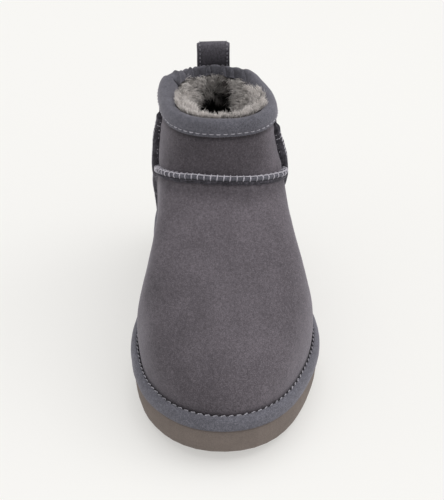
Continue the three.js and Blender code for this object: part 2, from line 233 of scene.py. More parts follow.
class Recipe:
    """A material whose nodes are added and joined one by one."""

    def __init__(self, name, roughness, sheen=0.0, sheen_tint=(1, 1, 1), specular=0.3):
        self.material = bpy.data.materials.new(name)
        self.material.use_nodes = True
        self.nodes = self.material.node_tree.nodes
        self.links = self.material.node_tree.links
        self.shader = self.nodes["Principled BSDF"]
        self.shader.inputs["Roughness"].default_value = roughness
        self.shader.inputs["Sheen Weight"].default_value = sheen
        self.shader.inputs["Sheen Roughness"].default_value = 0.45
        self.shader.inputs["Sheen Tint"].default_value = (*sheen_tint, 1)
        self.shader.inputs["Specular IOR Level"].default_value = specular
        self.place = self.nodes.new("ShaderNodeTexCoord").outputs["Object"]

    def join(self, source, target):
        self.links.new(source, target)

    def noise(self, scale, detail=3.0, roughness=0.6, stretch=None):
        """Noise between 0 and 1 with `scale` features a metre."""
        grain = self.nodes.new("ShaderNodeTexNoise")
        grain.inputs["Scale"].default_value = scale
        grain.inputs["Detail"].default_value = detail
        grain.inputs["Roughness"].default_value = roughness
        place = self.place
        if stretch:
            mapping = self.nodes.new("ShaderNodeMapping")
            mapping.inputs["Scale"].default_value = stretch
            self.join(place, mapping.inputs["Vector"])
            place = mapping.outputs["Vector"]
        self.join(place, grain.inputs["Vector"])
        return grain.outputs["Fac"]

    def value(self, name):
        """A number painted on the piece."""
        layer = self.nodes.new("ShaderNodeAttribute")
        layer.attribute_name = name
        return layer.outputs["Fac"]

    def math(self, operation, a, b):
        step = self.nodes.new("ShaderNodeMath")
        step.operation = operation
        for socket, value in zip(step.inputs, (a, b)):
            if isinstance(value, (int, float)):
                socket.default_value = value
            else:
                self.join(value, socket)
        return step.outputs[0]

    def weighted(self, *parts):
        """Sum of (source, weight) parts."""
        total = None
        for source, weight in parts:
            part = self.math("MULTIPLY", source, weight)
            total = part if total is None else self.math("ADD", total, part)
        return total

    def ramp(self, source, *stops):
        """Colours by position: each stop is (position, (r, g, b))."""
        ramp = self.nodes.new("ShaderNodeValToRGB")
        bar = ramp.color_ramp.elements
        while len(bar) < len(stops):
            bar.new(0.5)
        for element, (position, colour) in zip(bar, stops):
            element.position = position
            element.color = (*colour, 1)
        self.join(source, ramp.inputs["Fac"])
        return ramp.outputs["Color"]

    def toned(self, source, base, *stops):
        """Tones of one base colour by position: each stop is (position, brightness)."""
        return self.ramp(source, *((place, dimmed(base, factor)) for place, factor in stops))

    def shaded(self, colour, amount):
        """The colour times a grey amount."""
        mix = self.nodes.new("ShaderNodeMix")
        mix.data_type = "RGBA"
        mix.blend_type = "MULTIPLY"
        mix.inputs["Factor"].default_value = 1
        self.join(colour, mix.inputs["A"])
        self.join(amount, mix.inputs["B"])
        return mix.outputs["Result"]

    def bump(self, *layers):
        """Height layers, each (source, strength, depth in millimetres)."""
        normal = None
        for source, strength, depth in layers:
            relief = self.nodes.new("ShaderNodeBump")
            relief.inputs["Strength"].default_value = strength
            relief.inputs["Distance"].default_value = depth * MM
            self.join(source, relief.inputs["Height"])
            if normal:
                self.join(normal, relief.inputs["Normal"])
            normal = relief.outputs["Normal"]
        self.join(normal, self.shader.inputs["Normal"])

    def colour(self, source):
        self.join(source, self.shader.inputs["Base Color"])

    def rough(self, source, low, high):
        """Roughness that follows the source between two limits."""
        span = self.nodes.new("ShaderNodeMapRange")
        span.inputs["To Min"].default_value = low
        span.inputs["To Max"].default_value = high
        self.join(source, span.inputs["Value"])
        self.join(span.outputs["Result"], self.shader.inputs["Roughness"])


SUEDE = (0.116, 0.103, 0.117)
TRIM = (0.119, 0.118, 0.139)
LOOP_TONE = (0.088, 0.083, 0.097)
FOAM = (0.188, 0.156, 0.14)
THREAD = (0.40, 0.39, 0.44)
CORD = (0.54, 0.52, 0.58)
CUT_EDGE = (0.045, 0.042, 0.05)
WOOL_TIP = (0.71, 0.672, 0.652)
# brownish root colour, darkened with painted shade between the locks
WOOL_ROOT = (0.13, 0.112, 0.102)
# a dark copy of the wool colour: painted shade deep in the boot
SHADED_DEEP_WOOL = (0.055, 0.048, 0.046)


def make_suede(name, base, mottle, sheen, nap_depth):
    """Brushed suede: fine fibre flecks, finger-wide brushed patches and a soft sheen."""
    r = Recipe(name, 0.92, sheen, (0.93, 0.9, 1.0), 0.12)
    fleck = r.noise(1500, 3, 0.85)
    nap = r.noise(620, 3, 0.65, (1, 0.6, 1))
    brushed = r.noise(80, 2, 0.5, (1, 0.55, 0.8))
    patch = r.noise(24, 2, 0.5)
    blend = r.weighted((fleck, 0.56), (nap, 0.22), (brushed, 0.1 * mottle), (patch, 0.12 * mottle))
    middle = 0.5 * (0.78 + 0.22 * mottle)
    colour = r.toned(blend, base, (middle - 0.17, 0.36), (middle, 0.96), (middle + 0.17, 1.9))
    r.colour(r.shaded(colour, r.value("shade")))
    r.rough(brushed, 0.84, 1.0)
    r.bump((fleck, 0.5, nap_depth), (nap, 0.35, nap_depth * 1.6), (brushed, 0.25, nap_depth * 3))
    return r.material


def make_foam():
    """Moulded light foam: a matt skin with fine pores."""
    r = Recipe("foam_sole", 0.78, 0.0, specular=0.25)
    pores = r.noise(1300, 3, 0.6)
    cloud = r.noise(60, 3, 0.5)
    blend = r.weighted((pores, 0.6), (cloud, 0.4))
    r.colour(r.toned(blend, FOAM, (0.36, 0.84), (0.5, 1.0), (0.64, 1.15)))
    r.rough(cloud, 0.7, 0.88)
    r.bump((pores, 0.3, 0.12), (cloud, 0.2, 0.3))
    return r.material


def make_thread(name, base):
    """Waxed polyester thread with a fine twist."""
    r = Recipe(name, 0.6, 0.15, specular=0.35)
    twist = r.noise(2600, 2, 0.5, (1, 0.3, 1))
    worn = r.noise(240, 2, 0.5)
    blend = r.weighted((twist, 0.6), (worn, 0.4))
    r.colour(r.toned(blend, base, (0.36, 0.55), (0.5, 1.0), (0.66, 1.3)))
    r.bump((twist, 0.6, 0.12))
    return r.material


def make_cut_edge():
    """Raw edge of the skin, dark and fibrous."""
    r = Recipe("cut_edge", 0.95, 0.25, (0.9, 0.88, 1.0), 0.1)
    fibre = r.noise(1700, 4, 0.7, (1, 1, 0.4))
    clump = r.noise(380, 2, 0.6)
    blend = r.weighted((fibre, 0.6), (clump, 0.4))
    r.colour(r.toned(blend, CUT_EDGE, (0.36, 0.4), (0.5, 1.0), (0.66, 2.6)))
    r.bump((fibre, 0.8, 0.35), (clump, 0.5, 0.5))
    return r.material


def make_wool(name, pale):
    """Wool pile: dark between the locks, pale at the tips; the dark brownish roots are partly the wool's
    own colour and partly painted shade.
    """
    r = Recipe(name, 0.95, specular=0.03)
    wave = r.noise(900, 3, 0.6)
    cloud = r.noise(70, 2, 0.5)
    blend = r.weighted((r.value("tip"), 0.62), (wave, 0.12), (cloud, 0.26))
    half, bright = dimmed(pale, 0.52), dimmed(pale, 1.15)
    colour = r.ramp(blend, (0.16, WOOL_ROOT), (0.38, half), (0.58, pale), (0.85, bright))
    r.colour(r.shaded(colour, r.value("shade")))
    r.bump((wave, 0.6, 0.5))
    return r.material


def make_wool_ground(name, level=None):
    """The skin between the fibres, with painted shade at an even level or as the piece's own painted
    shade says.
    """
    r = Recipe(name, 0.95, specular=0.03)
    wave = r.noise(900, 3, 0.6)
    cloud = r.noise(70, 2, 0.5)
    blend = r.weighted((wave, 0.5), (cloud, 0.5))
    even = level or 1.0
    colour = r.ramp(blend, (0.35, dimmed(WOOL_ROOT, even)), (0.65, dimmed(WOOL_TIP, 0.5 * even)))
    r.colour(colour if level else r.shaded(colour, r.value("shade")))
    r.bump((wave, 0.6, 0.5))
    return r.material


suede = make_suede("suede", SUEDE, 1.0, 0.3, 0.16)
trim = make_suede("suede_trim", TRIM, 0.45, 0.25, 0.1)
loop_suede = make_suede("suede_loop", LOOP_TONE, 0.6, 0.2, 0.12)
foam = make_foam()
thread = make_thread("thread", THREAD)
cord_thread = make_thread("thread_cord", CORD)
cut_edge = make_cut_edge()
wool_lock = make_wool("wool_locks", WOOL_TIP)
# dark copy of the wool material: painted shade down the leg and on the footbed
shaded_deep_wool = make_wool("wool_deep_shaded", SHADED_DEEP_WOOL)
wool_skin = make_wool_ground("wool_ground")
# the footbed's ground held at 0.3: painted shade deep in the boot
shaded_footbed_skin = make_wool_ground("wool_footbed_ground", 0.3)

# ------------------------------------------------------------------ reading the frame

AXIS = Vector((0.0, 0.050, 0.0))  # upright line through the ankle

# Top of the sole by distance along the boot, both in millimetres.
SOLE_TOP = [
    (-136, 21.6),
    (-124, 21.0),
    (-108, 20.3),
    (-91, 19.8),
    (-46, 19.5),
    (-18, 19.8),
    (12, 21.2),
    (44, 23.3),
    (89, 24.9),
    (136, 25.1),
]
FOXING_RISE = 8.8  # foxing top over the sole, in millimetres


def foxing_top(y):
    """Height of the edge band's upper edge."""
    return (along(SOLE_TOP, y / MM) + FOXING_RISE) * MM


CAVITY = [
    [Vector(p) * MM for p in line]
    for line in (
        [(-2, -108, 34), (0, -60, 38), (2, -20, 46), (2, 20, 58), (0, 58, 76), (0, 60, 146)],
        [(0, 58, 76), (0, 84, 62), (0, 98, 45)],
        [(0, 58, 76), (0, 60, 30)],
    )
]


def nearest_in_cavity(p):
    """The closest point on the lines that run along the middle of the hollow."""
    best = None
    for line in CAVITY:
        for a, b in zip(line, line[1:]):
            span = b - a
            t = min(1.0, max(0.0, (p - a).dot(span) / span.length_squared))
            q = a + span * t
            gap = (p - q).length
            if best is None or gap < best[0]:
                best = (gap, q)
    return best[1]


def binding_foot(y):
    """Height of the binding's lower outer edge."""
    return (130.0 - 0.0952 * (y / MM - 10)) * MM


RIM_FRONT = (11.0, 139.0)  # place along the boot and height, in millimetres
RIM_BACK = (113.4, 126.2)


def collar_edge(p):
    """Height of the collar rim at p."""
    (front, high), (back, low) = RIM_FRONT, RIM_BACK
    return (high + (low - high) * (p.y / MM - front) / (back - front)) * MM


def below_rim(p):
    """Millimetres from p up to the collar rim."""
    return (collar_edge(p) - p.z) / MM


# Where the worn collar stands fuller than its even rim: middle, reach and shift, in millimetres.
FULLNESS = table(
    ["middle", "reach", "shift"],
    [
        [(-31, 86, 132), 19, (-2.2, 1.8, 2.6)],
        [(23, 100, 130), 14, (1.3, 0.8, 1.2)],
    ],
)


def fill_out(piece):
    """Moves the skin where the worn collar stands fuller."""
    for vertex in piece.data.vertices:
        for part in FULLNESS:
            gap = (vertex.co / MM - Vector(part["middle"])).length
            vertex.co += Vector(part["shift"]) * MM * bell(gap, part["reach"])


def facing_out(p, normal):
    """Whether the normal at p points away from the hollow."""
    return normal.dot(p - nearest_in_cavity(p)) > 0


# ------------------------------------------------------------------ the upper

# Soft folds: from a to b, how wide, how deep (a negative depth is a ridge), in millimetres.
FOLDS = table(
    ["a", "b", "width", "depth"],
    [
        [(-39, 40, 82), (-47, 2, 62), 7, 1.3],
        [(-37, 52, 74), (-43, 20, 52), 7, 0.9],
        [(-40, 34, 90), (-45, 12, 76), 5, -0.7],
        [(41, 32, 86), (49, -4, 62), 7, 1.2],
        [(39, 46, 76), (44, 16, 54), 7, 0.9],
        [(-25, -3, 97), (25, -5, 95), 4.5, 0.4],
        [(-30, -20, 86), (26, -24, 84), 9, -0.6],
        [(16, 7, 122), (28, 13, 108), 8, 0.9],
        [(-26, 13, 122), (-20, 8, 110), 8, 0.8],
        [(-6, 8, 118), (8, 8, 112), 9, -0.5],
        [(-42, -46, 56), (-34, -82, 46), 9, 0.8],
        [(40, -50, 56), (33, -86, 44), 9, 0.8],
        [(-12, -60, 70), (-6, -100, 50), 14, -0.6],
        [(16, -30, 80), (20, -72, 62), 11, 0.5],
        [(-21, 118, 90), (21, 118, 90), 5, 1.5],
        [(-25, 113, 103), (25, 112, 106), 4.5, 0.9],
        [(-18, 122, 78), (18, 122, 78), 6, -0.8],
        [(-37, 62, 94), (-33, 96, 86), 5, 1.2],
        [(-38, 62, 80), (-34, 98, 74), 6, 0.8],
        [(38, 54, 94), (33, 94, 86), 5, 1.2],
        [(38, 56, 80), (34, 96, 74), 6, 0.8],
    ],
)


def fold_depth(p):
    """How far the skin sinks at p, in metres."""
    sunk = 0.0
    for fold in FOLDS:
        a, b = Vector(fold["a"]) * MM, Vector(fold["b"]) * MM
        width = fold["width"] * MM
        span = b - a
        t = (p - a).dot(span) / span.length_squared
        held = min(1.0, max(0.0, t))
        gap = (p - a - span * held).length
        if gap < 3 * width:
            ends = 1 - 0.55 * abs(2 * held - 1)
            sunk += fold["depth"] * MM * ends * bell(gap, width)
    return sunk


# The seam across the instep: degrees round the ankle from the toe, and height.
INSTEP_SEAM = table(
    ["turn", "z"],
    [
        [-94, 89.0],
        [-84, 89.2],
        [-72, 93.3],
        [-60, 97.4],
        [-40, 101.7],
        [-20, 104.5],
        [-3, 104.7],
        [14, 103.8],
        [30, 101.8],
        [46, 99.1],
        [58, 96.2],
        [70, 94.0],
        [78, 94.0],
    ],
)
SEAM_ROUND = [(row["turn"], row["z"]) for row in INSTEP_SEAM]

# The side seams: how far back they stand at each height.
SIDE_SEAMS = {
    "inner": {"side": -1, "line": [(24, 95), (52, 88), (70, 75), (81, 61), (88, 53.5), (124, 54)]},
    "outer": {"side": 1, "line": [(24, 69), (60, 58), (80, 44), (93, 37), (128, 35)]},
}


def seam_height(p):
    """Height of the instep seam at p's place round the ankle, or None behind the side seams."""
    turn = math.degrees(math.atan2(p.x, AXIS.y - p.y))
    if not SEAM_ROUND[0][0] <= turn <= SEAM_ROUND[-1][0]:
        return None
    return along(SEAM_ROUND, turn) * MM


def side_seam_gap(p):
    """Distance along the boot from p to the side seam of its own side."""
    seam = SIDE_SEAMS["inner" if p.x < 0 else "outer"]
    return p.y - along(seam["line"], p.z / MM) * MM


SEAM_END = 56 * MM  # the instep seam stops here, at the side seams
INSTEP_PUCKER = 6.1 * MM  # from one small gather beside the seam to the next
SIDE_PUCKER = 5.7 * MM


def over_seam(p):
    """Height of p over the instep seam, or None where there is no such seam."""
    level = seam_height(p)
    return None if level is None or p.y >= SEAM_END else p.z - level


def under_binding(p):
    """Millimetres from p up to the binding's lower edge."""
    return (binding_foot(p.y) - p.z) / MM


def skin_sink(p):
    """How far the outer skin is drawn in at p by folds, binding and seams, in metres."""
    sink = fold_depth(p) + 0.5 * MM * bell(under_binding(p) - 0.5, 2.2)
    gap = over_seam(p)
    if gap is not None:
        pucker = math.sin(p.x * 2 * math.pi / INSTEP_PUCKER + 4 * noise.noise(p * 60))
        sink += 0.5 * MM * bell(gap, 5 * MM) + 0.22 * MM * bell(gap, 7 * MM) * pucker
    beside = side_seam_gap(p)
    if abs(p.x) > 20 * MM and abs(beside) < 20 * MM:
        pucker = math.sin(p.z * 2 * math.pi / SIDE_PUCKER + 3 * noise.noise(p * 50))
        sink += 0.5 * MM * bell(beside, 5 * MM) + 0.2 * MM * bell(beside, 6 * MM) * pucker
    return sink


def painted_skin_light(p, above):
    """Painted light and shade on the outer skin: lighter on top of the vamp and at the shaft's right
    side, darker on the vamp's left, on the shaft front and beside edge band, binding and seam.
    """
    # painted shade beside the edge band
    tone = 1.0 - 0.2 * smooth_step(0.0025, 0.0, above)
    # painted highlight on top of the vamp
    tone += 0.1 * smooth_step(-0.07, 0.0, p.y) * smooth_step(0.1, 0.09, p.z)
    # painted shade on the left of the foot's front
    tone -= 0.14 * smooth_step(0.01, -0.04, p.x) * smooth_step(0.03, -0.02, p.y)
    # painted shadow under the binding's lower edge
    tone -= 0.4 * bell(under_binding(p) - 0.4, 1.8)
    # painted shade on the shaft front, with a painted highlight at its right side
    shaft = smooth_step(101, 108, p.z / MM) * smooth_step(0.05, 0.018, p.y)
    tone += shaft * (0.16 - 0.42 * smooth_step(0.034, 0.02, p.x))
    # painted shadow under the instep seam
    gap = over_seam(p)
    if gap is not None:
        tone -= 0.2 * bell(gap + 4.5 * MM, 2.5 * MM)
    return max(0.3, tone)


def shape_upper():
    """The skin with its folds and gathers and its painted light and shade outside, and uneven wool
    ground inside with painted shade that deepens down the leg.
    """
    piece = copy_node("upper", "upper_suede")
    refine(piece)
    fill_out(piece)
    mesh = piece.data
    normals = [v.normal.copy() for v in mesh.vertices]
    outside = [facing_out(v.co, n) for v, n in zip(mesh.vertices, normals)]
    shade = []
    for vertex, normal, outer in zip(mesh.vertices, normals, outside):
        p = vertex.co.copy()
        if not outer:
            # painted shade on the wool ground, deepening down the leg
            shade.append(0.8 - 0.78 * smooth_step(16, 28, below_rim(p)))
            lumps = uneven(p, (75, 2.6), (200, 0.8))
            vertex.co = p + normal * lumps * MM * smooth_step(0.136, 0.124, p.z)
            continue
        above = p.z - foxing_top(p.y)
        free = smooth_step(0.0, 0.008, above) * smooth_step(0.134, 0.122, p.z)
        lift = uneven(p, (34, 0.55), (90, 0.22), (300, 0.05))
        # painted light and shade on the outer skin
        shade.append(painted_skin_light(p, above))
        vertex.co = p + normal * free * (lift * MM - skin_sink(p))
    paint(piece, "shade", shade)
    mesh.materials.append(suede)
    mesh.materials.append(wool_skin)
    for face in mesh.polygons:
        face.material_index = 0 if sum(outside[v] for v in face.vertices) * 2 > len(face.vertices) else 1
    smooth(piece)
    return settle(piece, "suede", "upper")


upper = shape_upper()
upper_tree = tree_of(upper)

# ------------------------------------------------------------------ collar binding

# Where the binding's two ends overlap: its outer and inner point, and the upright plane through both.
LAP_OUTER = Vector((-34.0, 88.5, 0.0))
LAP_INNER = Vector((-27.0, 82.0, 0.0))
LAP_ACROSS = (LAP_INNER - LAP_OUTER).cross(Vector((0, 0, 1))).normalized()  # towards the front end
LAP_LIFT = 0.5
LAP_SINK = 1.3
LAP_EDGE = 0.3  # thickness of the slope between the two ends
GATHERS = table(
    ["x", "width", "depth"],
    [
        [-24.0, 1.4, 1.5],
        [-20.5, 1.3, 0.9],
        [-14.6, 1.4, 2.0],
        [-9.0, 1.8, 0.6],
        [-3.6, 1.4, 1.7],
        [5.4, 1.4, 1.9],
        [11.0, 1.9, 0.7],
        [17.5, 1.7, 0.9],
    ],
)
COLLAR_AXIS = Vector((0.0, 0.062, 0.0))
BINDING_STITCH_RISE = 2.0  # stitch row over the binding's lower edge
BINDING_STITCH_PITCH = 4.2


def past_lap(p):
    """Millimetres from the lap towards the front end, or None on the other half of the collar."""
    return (p / MM - LAP_OUTER).dot(LAP_ACROSS) if p.x < -0.012 else None


def crease_lap(piece):
    """Two close cuts across the binding, so that the lap can step sharply."""
    shape = bmesh.new()
    shape.from_mesh(piece.data)
    for shift in (0.0, -LAP_EDGE):
        faces = [f for f in shape.faces if f.calc_center_median().x < -0.015]
        parts = set(faces)
        for face in faces:
            parts.update(face.edges)
            parts.update(face.verts)
        bmesh.ops.bisect_plane(
            shape,
            geom=list(parts),
            plane_co=(LAP_OUTER + LAP_ACROSS * shift) * MM,
            plane_no=LAP_ACROSS,
        )
    shape.to_mesh(piece.data)
    shape.free()


def shape_binding():
    """The folded band with its overlap, its gathers at the back and the dent of its stitch row, with
    painted shade in the lap's crease, in the gathers and on its inner face, most at the back.
    """
    piece = copy_node("collar_binding", "binding_suede")
    refine(piece)
    fill_out(piece)
    crease_lap(piece)
    mesh = piece.data
    normals = [v.normal.copy() for v in mesh.vertices]
    shade = []
    for vertex, normal in zip(mesh.vertices, normals):
        p = vertex.co.copy()
        outward = Vector((p.x, p.y - COLLAR_AXIS.y, 0)).normalized()
        lift = uneven(p, (60, 0.35), (160, 0.16))
        row_gap = (p.z - binding_foot(p.y)) / MM - BINDING_STITCH_RISE
        if normal.dot(outward) > 0.3:
            lift -= 0.4 * bell(row_gap, 1.0)
        tone = 1.0
        lap = past_lap(p)
        if lap is not None and lap > -LAP_EDGE / 2:
            lift += LAP_LIFT * (1 - smooth_step(8, 45, lap))
        elif lap is not None:
            lift -= LAP_SINK * (1 - smooth_step(4, 26, -lap))
            # painted shade in the crease where the ends overlap
            tone -= 0.75 * bell(lap, 1.8)
        sink = 0.0
        if p.y > 0.08 and normal.dot(outward) < 0.8:
            for gather in GATHERS:
                sink += gather["depth"] * bell(p.x / MM - gather["x"], gather["width"])
        # painted shade down in the gathers
        tone -= 0.42 * min(1.0, sink / 1.3)
        # painted shade on the inner face, deeper at the back
        inward = smooth_step(0.4, -0.5, normal.dot(outward))
        tone -= inward * (0.12 + 0.3 * smooth_step(0.075, 0.1, p.y))
        shade.append(max(0.3, tone))
        vertex.co = p + normal * (lift - sink) * MM
    paint(piece, "shade", shade)
    return finish(piece, trim, "suede_trim", "collar_binding")


binding = shape_binding()
binding_tree = tree_of(binding)

# ------------------------------------------------------------------ foxing and its groove


def shape_foxing():
    """The edge band, sunk to a groove with painted shade where it meets the upper, and darker along its
    foot by the sole.
    """
    piece = copy_node("foxing", "foxing_suede")
    refine(piece)
    mesh = piece.data
    shade = []
    for vertex in mesh.vertices:
        p = vertex.co.copy()
        rise = p.z / MM - along(SOLE_TOP, p.y / MM)
        nearest, _, _, gap = upper_tree.find_nearest(p)
        hollow = smooth_step(1.7 * MM, 0.5 * MM, gap) * smooth_step(5.5, 7.5, rise)
        outward = (p - nearest).normalized() if gap > 1e-6 else Vector((0, 0, 1))
        lift = uneven(p, (55, 0.28), (170, 0.1))
        share = smooth_step(2.5 * MM, 4 * MM, gap)
        seam_line = bell(rise - 0.6, 0.8)
        # painted shade in the groove under the upper; darker along the band's foot by the sole
        shade.append(max(0.25, 1.12 - 0.8 * hollow - 0.35 * seam_line))
        vertex.co = p + outward * lift * share * MM - Vector((0, 0, 1.6 * MM * hollow))
    paint(piece, "shade", shade)
    return finish(piece, trim, "suede_trim", "foxing")


foxing = shape_foxing()
foxing_tree = tree_of(foxing)

# ------------------------------------------------------------------ threads


def threads(name, lines, radius, material=thread):
    """Stitches as one mesh: each line is a short list of points, thinner at both ends."""
    curve = bpy.data.curves.new(name, "CURVE")
    curve.dimensions = "3D"
    curve.bevel_depth = radius * MM
    curve.bevel_resolution = 1
    curve.use_fill_caps = True
    for line in lines:
        spline = curve.splines.new("POLY")
        spline.points.add(len(line) - 1)
        for k, p in enumerate(line):
            spline.points[k].co = (*p, 1)
            spline.points[k].radius = 0.6 if k in (0, len(line) - 1) else 1.0
    made = bpy.data.objects.new(name, curve)
    scene.collection.objects.link(made)
    pick(made)
    bpy.ops.object.convert(target="MESH")
    piece = bpy.context.object
    piece.name = name
    return finish(piece, material, "suede_trim")


def measured(points):
    """Running length at each point of a line."""
    lengths = [0.0]
    for a, b in zip(points, points[1:]):
        lengths.append(lengths[-1] + (b - a).length)
    return lengths


def resample(points, pitch, closed=False):
    """Evenly spaced (point, direction) pairs along a line, a whole number of pitches."""
    line = points + (points[:1] if closed else [])
    lengths = measured(line)
    count = max(1, round(lengths[-1] / pitch))
    found, k = [], 0
    for i in range(count if closed else count + 1):
        want = lengths[-1] * i / count
        while k < len(line) - 2 and lengths[k + 1] < want:
            k += 1
        a, b = line[k], line[k + 1]
        t = (want - lengths[k]) / max(1e-9, lengths[k + 1] - lengths[k])
        found.append((a.lerp(b, t), (b - a).normalized()))
    return found


def dash(p, way, normal, length, bulge):
    """A stitch lying along `way`, its ends sunk in the skin."""
    half = length * MM / 2
    sunk = 0.25 * MM
    return [
        p - way * half - normal * sunk,
        p - way * half * 0.6 + normal * bulge * MM,
        p + way * half * 0.6 + normal * bulge * MM,
        p + way * half - normal * sunk,
    ]


def outside_at(tree, axis, turn, z):
    """Where a level ray towards the axis meets the outside, and the normal there."""
    way = Vector((math.cos(turn), math.sin(turn), 0))
    start = Vector((axis.x, axis.y, z)) + way * 0.2
    point, normal, _, _ = tree.ray_cast(start, -way)
    if point is None or (point - Vector((axis.x, axis.y, z))).dot(way) < 0.005:
        return None, None
    return point, normal


def binding_edge(turn):
    """Lower outer edge of the binding at this place round the collar."""
    lowest, rise = 112 * MM, 0.3 * MM
    for step in range(120):
        z = lowest + step * rise
        point, _ = outside_at(binding_tree, COLLAR_AXIS, turn, z)
        if point:
            return z
    return 0.12


def binding_stitches():
    """The stitch row that follows the binding's lower edge round the collar."""
    points, normals = [], []
    steps = 180
    levels = [binding_edge(2 * math.pi * k / steps) for k in range(steps)]
    for k in range(steps):
        near = [levels[(k + j) % steps] for j in (-2, -1, 0, 1, 2)]
        z = sum(near) / len(near) + BINDING_STITCH_RISE * MM
        point, normal = outside_at(binding_tree, COLLAR_AXIS, 2 * math.pi * k / steps, z)
        if point:
            points.append(point)
            normals.append(normal)
    lines = []
    for p, way in resample(points, BINDING_STITCH_PITCH * MM, True):
        _, normal, _, _ = binding_tree.find_nearest(p)
        lines.append(dash(p, way, normal, 2.7, 0.22))
    return threads("binding_thread", lines, 0.33)


binding_stitches()

FOXING_STITCH_PITCH = 4.5


def foxing_row():
    """The crest of the foxing, point by point round the boot."""
    steps = 200
    slender = 2.4  # length over width, so that the points come evenly
    crest = [None] * steps
    for vertex in foxing.data.vertices:
        p = vertex.co
        gap = upper_tree.find_nearest(p)[3]
        if 1.3 * MM < gap < 3.4 * MM:
            k = int((math.atan2(p.y, p.x * slender) / (2 * math.pi) + 0.5) * steps) % steps
            if crest[k] is None or p.z > crest[k].z:
                crest[k] = p.copy()
    found = [p for p in crest if p]
    count = len(found)
    return [(found[k - 1] + found[k] + found[(k + 1) % count]) / 3 for k in range(count)]


def foxing_stitches():
    """The slanting stitches down in the groove between edge band and upper."""
    lines = []
    for p, way in resample(foxing_row(), FOXING_STITCH_PITCH * MM, True):
        across = way.cross(Vector((0, 0, 1))).normalized()
        inward = -across if across.dot(Vector((p.x, p.y * 0.3, 0))) > 0 else across
        seat, normal, _, _ = foxing_tree.find_nearest(p + inward * 0.8 * MM)
        slant = (way + inward * 0.3).normalized()
        lines.append(dash(seat, slant, normal, 3.0, 0.3))
    return threads("foxing_thread", lines, 0.38)


foxing_stitches()

# ------------------------------------------------------------------ raised seams

UP = Vector((0, 0, 1))
BACKWARDS = Vector((0, 1, 0))
INSTEP_STITCH_PITCH = 3.7
SIDE_STITCH_PITCH = 2.9
SEAM_THREAD = 0.38  # radius of the cord, in millimetres
SIDE_THREAD = 0.3
THREAD_CLEAR = 0.28  # how far a stitch lies over its bead

def sweep(name, frames, section, material):
    """A solid bead: rows of a grid moved to the frames (point, up, out) with the section's outline."""
    columns, rows = len(section), len(frames) - 1
    bpy.ops.object.select_all(action="DESELECT")
    bpy.ops.mesh.primitive_grid_add(x_subdivisions=columns, y_subdivisions=rows, size=1)
    piece = bpy.context.object
    piece.name = name
    for vertex in piece.data.vertices:
        column = round((vertex.co.x + 0.5) * columns) % columns
        row = round((vertex.co.y + 0.5) * rows)
        point, up, out, girth = frames[row]
        a, b = section[column]
        vertex.co = point + (up * a + out * b) * MM * girth
    edit(piece, weld, close_ends, turn_outwards)
    paint(piece, "shade", [1.0] * len(piece.data.vertices))
    return finish(piece, material, "suede_trim")


def oval(height, depth, rise, sides=12):
    """Outline of a bead: height along the skin, depth out of it, its middle raised by `rise`."""
    sink = 0.6  # how far it reaches into the skin, as a share of its depth
    return [
        (
            rise + height / 2 * math.sin(2 * math.pi * k / sides),
            depth * (1 - sink) / 2 + depth * (1 + sink) / 2 * math.cos(2 * math.pi * k / sides),
        )
        for k in range(sides)
    ]


def axes_at(points, normals, k, side):
    """Out of the skin and across the line at its point k, across turned towards `side`."""
    way = (points[min(len(points) - 1, k + 1)] - points[max(0, k - 1)]).normalized()
    out = (normals[k] - way * normals[k].dot(way)).normalized()
    across = out.cross(way).normalized()
    return out, -across if across.dot(side) < 0 else across


def instep_line():
    """The line of the instep seam on the skin, and its normals."""
    steps = 130
    points, normals = [], []
    for k in range(steps + 1):
        turn = SEAM_ROUND[0][0] + (SEAM_ROUND[-1][0] - SEAM_ROUND[0][0]) * k / steps
        near = [along(SEAM_ROUND, turn + d) for d in (-4, -2, 0, 2, 4)]
        z = sum(near) / 5 * MM
        ray = math.radians(turn) - math.pi / 2
        point, normal = outside_at(upper_tree, AXIS, ray, z)
        if point:
            points.append(point)
            normals.append(normal)
    return points, normals


def smoothed(vectors, reach):
    """Each vector's mean with its neighbours up to `reach` away."""
    found = []
    for k in range(len(vectors)):
        near = vectors[max(0, k - reach) : k + reach + 1]
        found.append(sum(near, Vector()) / len(near))
    return found


def softened(points, normals):
    """A line on the skin without its small kinks."""
    return smoothed(points, 2), [n.normalized() for n in smoothed(normals, 5)]


def instep_seam():
    """The rolled edge across the instep and the raw edge under it. Gives the line they follow."""
    points, normals = softened(*instep_line())
    frames = []
    for k, p in enumerate(points):
        out, up = axes_at(points, normals, k, UP)
        ends = min(1.0, 0.35 + min(k, len(points) - 1 - k) / 5)
        frames.append((p, up, out, ends * (1 + 0.12 * noise.noise(p * 190))))
    sweep("instep_roll", frames, oval(3.5, 2.8, 0.9, 14), trim)
    sweep("instep_cut_edge", frames, oval(1.9, 2.0, -1.85), cut_edge)
    return frames


def seam_frame_at(frames, want):
    """Frame at a share of the line's length."""
    k = want * (len(frames) - 1)
    low = min(len(frames) - 2, int(k))
    t = k - low
    a, b = frames[low], frames[low + 1]
    return tuple(a[i].lerp(b[i], t) for i in range(3))


def spot_on(frames, share):
    """Frame at a share of the line's length, and the line's direction there."""
    here, ahead = seam_frame_at(frames, share), seam_frame_at(frames, min(1, share + 0.01))
    return here, (ahead[0] - here[0]).normalized()


def wrap(frame, way, rise, half_height, depth, low, high, lean, steps=7):
    """A stitch bent over a bead between two angles, in degrees from straight out."""
    p, up, out = frame
    line = []
    for k in range(steps):
        angle = math.radians(low + (high - low) * k / (steps - 1))
        a = rise + (half_height + THREAD_CLEAR) * math.sin(angle)
        b = max((depth + THREAD_CLEAR) * math.cos(angle), 0.3)
        slant = way * lean * MM * (k / (steps - 1) - 0.5)
        line.append(p + (up * a + out * b) * MM + slant)
    return line


